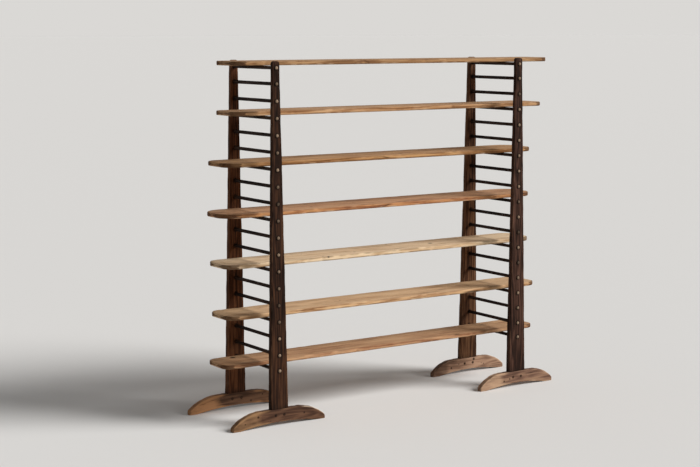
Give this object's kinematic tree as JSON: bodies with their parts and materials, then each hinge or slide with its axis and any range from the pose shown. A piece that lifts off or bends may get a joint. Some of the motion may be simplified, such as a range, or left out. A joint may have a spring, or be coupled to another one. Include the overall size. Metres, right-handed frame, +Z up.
{
  "type": "bakery rack",
  "caption": "Bakery rack: two free-standing ladder ends with tapered posts, through rungs and arched feet, bridged by loose round-cornered bread boards that draw out endwise.",
  "frame": {"origin": "on the floor, under the middle of the overall box", "axes": "+X along the boards, to the right as seen from the pictured front; +Y to the back; +Z up"},
  "size_m": [2.1562, 0.4742, 1.832],
  "materials": {
    "stained_post_wood": "worn dark brown stain, dull",
    "dark_rung_wood": "rubbed dark brown, pale at the ends",
    "worn_foot_wood": "stain worn off along the edges",
    "peg_wood": "dark end grain",
    "board_1_wood": "bare scrubbed softwood, worn round at the edges",
    "board_2_wood": "bare scrubbed softwood, worn round at the edges",
    "board_3_wood": "bare scrubbed softwood, worn round at the edges",
    "board_4_wood": "bare scrubbed softwood, worn round at the edges",
    "board_5_wood": "bare scrubbed softwood, worn round at the edges",
    "board_6_wood": "bare scrubbed softwood, worn round at the edges",
    "board_7_wood": "bare scrubbed softwood, worn round at the edges"
  },
  "bodies": {
    "ladder_ends": {"post_left_front": "stained_post_wood", "post_left_back": "stained_post_wood", "post_right_front": "stained_post_wood", "post_right_back": "stained_post_wood", "foot_left_front": "worn_foot_wood", "foot_left_back": "worn_foot_wood", "foot_right_front": "worn_foot_wood", "foot_right_back": "worn_foot_wood", "foot_pegs_left_front": "peg_wood", "foot_pegs_left_back": "peg_wood", "foot_pegs_right_front": "peg_wood", "foot_pegs_right_back": "peg_wood", "rung_left_01": "dark_rung_wood", "rung_left_02": "dark_rung_wood", "rung_left_03": "dark_rung_wood", "rung_left_04": "dark_rung_wood", "rung_left_05": "dark_rung_wood", "rung_left_06": "dark_rung_wood", "rung_left_07": "dark_rung_wood", "rung_left_08": "dark_rung_wood", "rung_left_09": "dark_rung_wood", "rung_left_10": "dark_rung_wood", "rung_left_11": "dark_rung_wood", "rung_left_12": "dark_rung_wood", "rung_left_13": "dark_rung_wood", "rung_left_14": "dark_rung_wood", "rung_left_15": "dark_rung_wood", "rung_left_16": "dark_rung_wood", "rung_left_17": "dark_rung_wood", "rung_left_18": "dark_rung_wood", "rung_left_19": "dark_rung_wood", "rung_right_01": "dark_rung_wood", "rung_right_02": "dark_rung_wood", "rung_right_03": "dark_rung_wood", "rung_right_04": "dark_rung_wood", "rung_right_05": "dark_rung_wood", "rung_right_06": "dark_rung_wood", "rung_right_07": "dark_rung_wood", "rung_right_08": "dark_rung_wood", "rung_right_09": "dark_rung_wood", "rung_right_10": "dark_rung_wood", "rung_right_11": "dark_rung_wood", "rung_right_12": "dark_rung_wood", "rung_right_13": "dark_rung_wood", "rung_right_14": "dark_rung_wood", "rung_right_15": "dark_rung_wood", "rung_right_16": "dark_rung_wood", "rung_right_17": "dark_rung_wood", "rung_right_18": "dark_rung_wood", "rung_right_19": "dark_rung_wood"},
    "board_1": {"board_1": "board_1_wood"},
    "board_2": {"board_2": "board_2_wood"},
    "board_3": {"board_3": "board_3_wood"},
    "board_4": {"board_4": "board_4_wood"},
    "board_5": {"board_5": "board_5_wood"},
    "board_6": {"board_6": "board_6_wood"},
    "board_7": {"board_7": "board_7_wood"}
  },
  "joints": [
    {"name": "board_1_slide", "type": "slide", "parent": "ladder_ends", "child": "board_1", "axis": [1, 0, 0], "range_m": [-0.273, 2.15]},
    {"name": "board_2_slide", "type": "slide", "parent": "ladder_ends", "child": "board_2", "axis": [1, 0, 0], "range_m": [-0.238, 2.15]},
    {"name": "board_3_slide", "type": "slide", "parent": "ladder_ends", "child": "board_3", "axis": [1, 0, 0], "range_m": [-0.183, 2.15]},
    {"name": "board_4_slide", "type": "slide", "parent": "ladder_ends", "child": "board_4", "axis": [1, 0, 0], "range_m": [-0.192, 2.15]},
    {"name": "board_5_slide", "type": "slide", "parent": "ladder_ends", "child": "board_5", "axis": [1, 0, 0], "range_m": [-0.17, 2.15]},
    {"name": "board_6_slide", "type": "slide", "parent": "ladder_ends", "child": "board_6", "axis": [1, 0, 0], "range_m": [-0.191, 2.15]},
    {"name": "board_7_slide", "type": "slide", "parent": "ladder_ends", "child": "board_7", "axis": [1, 0, 0], "range_m": [-0.19, 2.15]}
  ]
}
